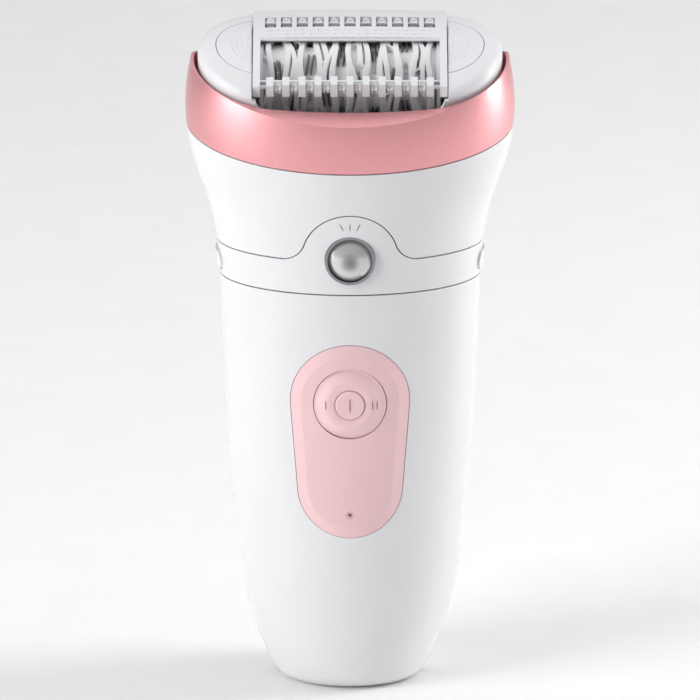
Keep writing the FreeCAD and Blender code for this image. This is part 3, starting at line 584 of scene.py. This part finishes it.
def build_cap_dots():
    """Two rows of small grip dots along the cap's rear band."""
    tree = surface_of(nodes["cap_frame"], HEAD.inverted())
    made = Builder()
    for back in DOT_ROWS:
        for i in range(-DOTS_EACH_SIDE, DOTS_EACH_SIDE + 1):
            above = Vector((i * PITCH / 2, back, TOP_START)) * MM
            hit, normal, _, _ = tree.ray_cast(above, Vector((0, 0, -1)))
            if hit is not None:
                made.dome(hit / MM, DOT_RADIUS, DOT_HEIGHT, turn_to(normal), sides=10)
    made.make("cap_dots", head_white, "cap", HEAD, crease=70.0)


# ------------------------------------------------------------------------------------------- band
# The skirt's heights in the head's frame, where it starts and how far it runs round the back, in degrees, and
# how deep its outer and inner faces lie below the skin.
SKIRT_LOW, SKIRT_TOP, SKIRT_STEPS = -7.55, -6.0, 80
SKIRT_START, SKIRT_SWEEP = 12, 156
SKIRT_OUTER, SKIRT_INNER = 0.05, 0.4
SKIRT_SECTION = (
    (SKIRT_OUTER, SKIRT_LOW),
    (SKIRT_INNER, SKIRT_LOW),
    (SKIRT_INNER, SKIRT_TOP),
    (SKIRT_OUTER, SKIRT_TOP),
)

# The heights where the shell's skin and the band's skin are measured, below and above the skirt.
SHELL_HEIGHT, BAND_HEIGHT = SKIRT_LOW - 0.7, SKIRT_TOP + 0.6


def skin_radius(tree, outward, height):
    """How far a surface lies from the head's middle line, in millimetres."""
    start = (outward * SIDE_START + Vector((0, 0, height))) * MM
    return tree.ray_cast(start, -outward)[0].xy.length / MM


def build_band_skirt():
    """A thin strip just inside the band's lower edge, behind. It covers the two rear corners where the mouth
    cuts through the CAD band's wall, and follows the skin from the shell below to the band above."""
    band = surface_of(nodes["collar_band"], HEAD.inverted())
    shell = surface_of(nodes["head_base_shell"], HEAD.inverted())
    rings = []
    for i in range(SKIRT_STEPS + 1):
        angle = math.radians(SKIRT_START + SKIRT_SWEEP * i / SKIRT_STEPS)
        outward = Vector((math.cos(angle), math.sin(angle), 0))
        low = skin_radius(shell, outward, SHELL_HEIGHT)
        high = skin_radius(band, outward, BAND_HEIGHT)
        ring = []
        for depth, height in SKIRT_SECTION:
            share = (height - SHELL_HEIGHT) / (BAND_HEIGHT - SHELL_HEIGHT)
            radius = low + (high - low) * share - depth
            ring.append((radius * outward.x, radius * outward.y, height))
        rings.append(ring)
    made = Builder()
    made.closed_tube(rings)
    made.make("band_skirt", rose_metallic, "head_base", HEAD, crease=50.0)


# ------------------------------------------------------------------------------------------- marks
STROKE_STEPS, STROKE_ROOT, STROKE_BEVEL, STROKE_END = 6, 0.15, 0.8, 0.15

# The three rays over the lamp: x at the bottom and at the top.
RAYS = ((-1.35, -2.1), (0.0, 0.0), (1.35, 2.1))
RAY_LOW, RAY_HIGH, RAY_WIDTH, RAY_PROUD = 101.9, 103.5, 0.26, 0.02


def stroke(made, tree, start, end, width, proud):
    """A short raised bar laid on a surface that faces the front, from one (x, z) to another."""
    a, b = Vector((start[0], 0, start[1])), Vector((end[0], 0, end[1]))
    along = (b - a).normalized()
    rings = []
    for i in range(STROKE_STEPS + 1):
        t = i / STROKE_STEPS
        place = a.lerp(b, t)
        base, normal = hit_from_front(tree, place.x, place.z)
        half = width / 2 * math.sqrt(max(STROKE_END, 1 - abs(2 * t - 1) ** 4))
        across = along.cross(normal).normalized() * half
        root, top = -normal * STROKE_ROOT, normal * proud
        rings.append([base + across + root, base - across + root,
                      base - across * STROKE_BEVEL + top, base + across * STROKE_BEVEL + top])
    made.closed_tube(rings)


def build_lamp_rays():
    tree = surface_of(nodes["neck_ring"])
    made = Builder()
    for x_low, x_high in RAYS:
        stroke(made, tree, (x_low, RAY_LOW), (x_high, RAY_HIGH), RAY_WIDTH, RAY_PROUD)
    made.make("lamp_rays", mark_grey, "handle", None, crease=60.0)


# ------------------------------------------------------------------------------------------- pod covers
# A round inset about POD_MIDDLE, cut off at POD_CUT beside the barrel's channel.
POD_CUT, POD_MIDDLE, POD_RADIUS, POD_THICKNESS = 20.07, 17.4, 9.78, 0.6
POD_RINGS, POD_SIDES = 60, 96

# The raised rings: their spacing and height, and the distances from the middle where they fade in and out.
GROOVE_STEP, GROOVE_HEIGHT = 1.1, 0.13
GROOVE_RISES, GROOVE_FALLS = (0.25, 0.4), (0.6, 0.75)
FADE_IN, FADE_OUT = (1.8, 2.5), (7.4, 7.9)

# The ellipsoid of the head's top: half sizes along X, Y and Z, and its middle in the head's frame.
DOME_X, DOME_Y, DOME_Z = 130.0, 38.0, 30.0
DOME_BACK, DOME_DOWN = 2.0, 20.7


def dome_height(x, y):
    """The height of the head's domed top, in the head's frame."""
    return DOME_Z * math.sqrt(max(0.0, 1 - (x / DOME_X) ** 2 - ((y - DOME_BACK) / DOME_Y) ** 2)) - DOME_DOWN


def groove_lift(distance):
    """How far the raised rings stand out at a distance from the pod's middle."""
    ring = (distance % GROOVE_STEP) / GROOVE_STEP
    raised = GROOVE_HEIGHT * smoothstep(*GROOVE_RISES, ring) * (1 - smoothstep(*GROOVE_FALLS, ring))
    return raised * smoothstep(*FADE_IN, distance) * (1 - smoothstep(*FADE_OUT, distance))


def pod_point(side, radius, angle):
    """A point of the pod cover's top. Past the cut it is drawn back to the cut's straight edge."""
    x, y = side * POD_MIDDLE + radius * math.cos(angle), radius * math.sin(angle)
    x = max(POD_CUT, x) if side > 0 else min(-POD_CUT, x)
    if abs(x) <= POD_CUT + 1e-6:
        reach = math.sqrt(POD_RADIUS**2 - (POD_CUT - POD_MIDDLE) ** 2)
        y = max(-reach, min(reach, y))
    distance = math.hypot(x - side * POD_MIDDLE, y)
    return x, y, dome_height(x, y) + groove_lift(distance)


def build_pod_cover(side, name):
    rings = []
    for i in range(1, POD_RINGS + 1):
        radius = POD_RADIUS * i / POD_RINGS
        rings.append([pod_point(side, radius, TAU * j / POD_SIDES) for j in range(POD_SIDES)])
    rings.append([(x, y, z - POD_THICKNESS) for x, y, z in rings[-1]])
    made = Builder()
    made.closed_tube(rings)
    cover = made.make(f"pod_inset_{name}", head_white, "pivot_head", HEAD, crease=50.0)
    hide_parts(f"pod_cover_{name}")


# ------------------------------------------------------------------------------------------- dial and lights
DIAL_HOLE, DIAL_TUBE = 3.06, 4.3
DIAL_FALL, DIAL_RIM, DIAL_PLATE = 1.15, 1.7, 2.2
DIAL_CHAMFER, DIAL_SLOPE = 0.1, (0.25, 1.0)
DIAL_STEPS, DIAL_SIDES = 14, 96

# The rounded lip round the dial's hole: how far out from the hole, how far back from the front.
DIAL_LIP = ((0.0, 0.28), (0.16, 0.06), (0.4, 0.0))

# The marks' places across the dial, half their length, their width and how far they stand out.
DIAL_MARKS, DIAL_MARK_HALF, DIAL_MARK_WIDTH, DIAL_MARK_PROUD = (-4.95, 4.6, 5.55), 0.95, 0.3, 0.05
LOCK_MARK_HALF, LOCK_MARK_WIDTH, LOCK_MARK_PROUD = 1.5, 0.34, 0.06
STATUS_RADIUS, STATUS_HEIGHT = 0.42, 0.05


def middle_z(node):
    """The height of a node's middle, in millimetres."""
    low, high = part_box(node)
    return (low.z + high.z) / 2 / MM


def dial_profile():
    """The dial's section as (radius, y): bored tube, rounded lip, dome that falls to the rim, and plate."""
    low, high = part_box("switch_dial")
    front, back, radius = low.y / MM, high.y / MM, (high.x - low.x) / 2 / MM
    profile = [(DIAL_HOLE, back)]
    profile += [(DIAL_HOLE + outward, front + sink) for outward, sink in DIAL_LIP]
    dome_start = profile[-1][0]
    for i in range(1, DIAL_STEPS + 1):
        t = i / DIAL_STEPS
        outward = dome_start + (radius - dome_start) * t
        profile.append((outward, front + DIAL_FALL * smoothstep(*DIAL_SLOPE, t)))
    plate = front + DIAL_PLATE
    profile += [(radius, front + DIAL_RIM), (radius - DIAL_CHAMFER, plate)]
    profile += [(DIAL_TUBE, plate), (DIAL_TUBE, back)]
    return profile


def build_dial():
    """The dial's soft dome round the lock button."""
    centre_z = middle_z("switch_dial")
    made = Builder()
    made.pierced_tube([circle_y(y, radius, centre_z, DIAL_SIDES) for radius, y in dial_profile()])
    dial = made.make("dial_dome", dial_pink, "speed_dial", None, crease=40.0)
    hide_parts("switch_dial")
    return dial


def build_dial_marks(dial):
    """One bar on the left of the dial and two on its right, and one across the lock button."""
    centre_z = middle_z("switch_dial")
    tree = surface_of(dial)
    marks = Builder()
    for x in DIAL_MARKS:
        low, high = (x, centre_z - DIAL_MARK_HALF), (x, centre_z + DIAL_MARK_HALF)
        stroke(marks, tree, low, high, DIAL_MARK_WIDTH, DIAL_MARK_PROUD)
    marks.make("dial_marks", mark_pink, "speed_dial", None, crease=60.0)
    low, high = (0, centre_z - LOCK_MARK_HALF), (0, centre_z + LOCK_MARK_HALF)
    bar = Builder()
    stroke(bar, surface_of(nodes["lock_button"]), low, high, LOCK_MARK_WIDTH, LOCK_MARK_PROUD)
    bar.make("lock_mark", mark_pink, "dial_lock", None, crease=60.0)


def build_status_dot():
    """The small dark window of the charge light."""
    centre, normal = hit_from_front(surface_of(nodes["status_light"]), 0, middle_z("status_light"))
    made = Builder()
    made.dome(centre, STATUS_RADIUS, STATUS_HEIGHT, turn_to(normal), sides=20)
    made.make("status_dot", indicator, "handle", None, crease=60.0)


# ------------------------------------------------------------------------------------------- stage
FLOOR_REACH = 6.0
STUDIO_TARGET = (0, 0, 0.08)
WORLD_COLOUR, WORLD_STRENGTH = (0.97, 0.97, 1.0, 1.0), 0.235
VIEW_ELEVATION, VIEW_DISTANCE, VIEW_HEIGHT = math.radians(18.0), 1.6, 0.1443
VIEW_MIDDLE = Vector((0, 0, 0.0704))


def build_floor():
    mesh = bpy.data.meshes.new("floor")
    corners = [(x * FLOOR_REACH, y * FLOOR_REACH, 0) for x, y in ((-1, -1), (1, -1), (1, 1), (-1, 1))]
    mesh.from_pydata(corners, [], [(0, 1, 2, 3)])
    floor = bpy.data.objects.new("floor", mesh)
    bpy.context.scene.collection.objects.link(floor)
    mesh.materials.append(plastic("floor_white", FLOOR_WHITE, rough=0.6, grain=30.0, tone=0.01))


def area_light(name, place, target, size, power):
    light = bpy.data.lights.new(name, "AREA")
    light.shape = "RECTANGLE"
    light.size, light.size_y = size
    light.energy = power
    obj = bpy.data.objects.new(name, light)
    obj.location = place
    obj.rotation_euler = (Vector(target) - Vector(place)).to_track_quat("-Z", "Y").to_euler()
    bpy.context.scene.collection.objects.link(obj)


def build_studio():
    """A tall light on each side, a wide one overhead, and an even world behind them."""
    area_light("key_left", (-0.80, -0.42, 0.34), STUDIO_TARGET, size=(0.45, 1.0), power=7.6)
    area_light("rim_right", (0.75, 0.12, 0.30), STUDIO_TARGET, size=(0.30, 1.0), power=6.2)
    area_light("top", (0.0, 0.6, 2.6), (0, 0.4, 0), size=(3.5, 3.5), power=38.0)
    world = bpy.data.worlds.new("studio")
    bpy.context.scene.world = world
    world.use_nodes = True
    background = world.node_tree.nodes["Background"]
    background.inputs["Color"].default_value = WORLD_COLOUR
    background.inputs["Strength"].default_value = WORLD_STRENGTH
    bpy.context.scene.view_settings.view_transform = "Standard"


def build_camera():
    """A long lens from the front and a little above, with the whole object in view."""
    back = Vector((0, -math.cos(VIEW_ELEVATION), math.sin(VIEW_ELEVATION)))
    camera = bpy.data.cameras.new("camera")
    camera.sensor_width = 36.0
    camera.lens = camera.sensor_width * VIEW_DISTANCE / VIEW_HEIGHT
    camera.clip_start, camera.clip_end = 0.05, 20.0
    obj = bpy.data.objects.new("camera", camera)
    obj.location = VIEW_MIDDLE + back * VIEW_DISTANCE
    obj.rotation_euler = back.to_track_quat("Z", "Y").to_euler()
    bpy.context.scene.collection.objects.link(obj)
    bpy.context.scene.camera = obj


build_barrel()
build_tweezers("tweezers_fixed", "fixed_tweezers", "tweezer_barrel", FIXED_OFFSET)
build_tweezers("tweezers_moving", "moving_tweezers", "tweezer_bars", MOVING_OFFSET)
build_rollers()
build_cap_dots()
build_band_skirt()
build_lamp_rays()
build_pod_cover(-1, "left")
build_pod_cover(1, "right")
build_dial_marks(build_dial())
build_status_dot()
build_floor()
build_studio()
build_camera()
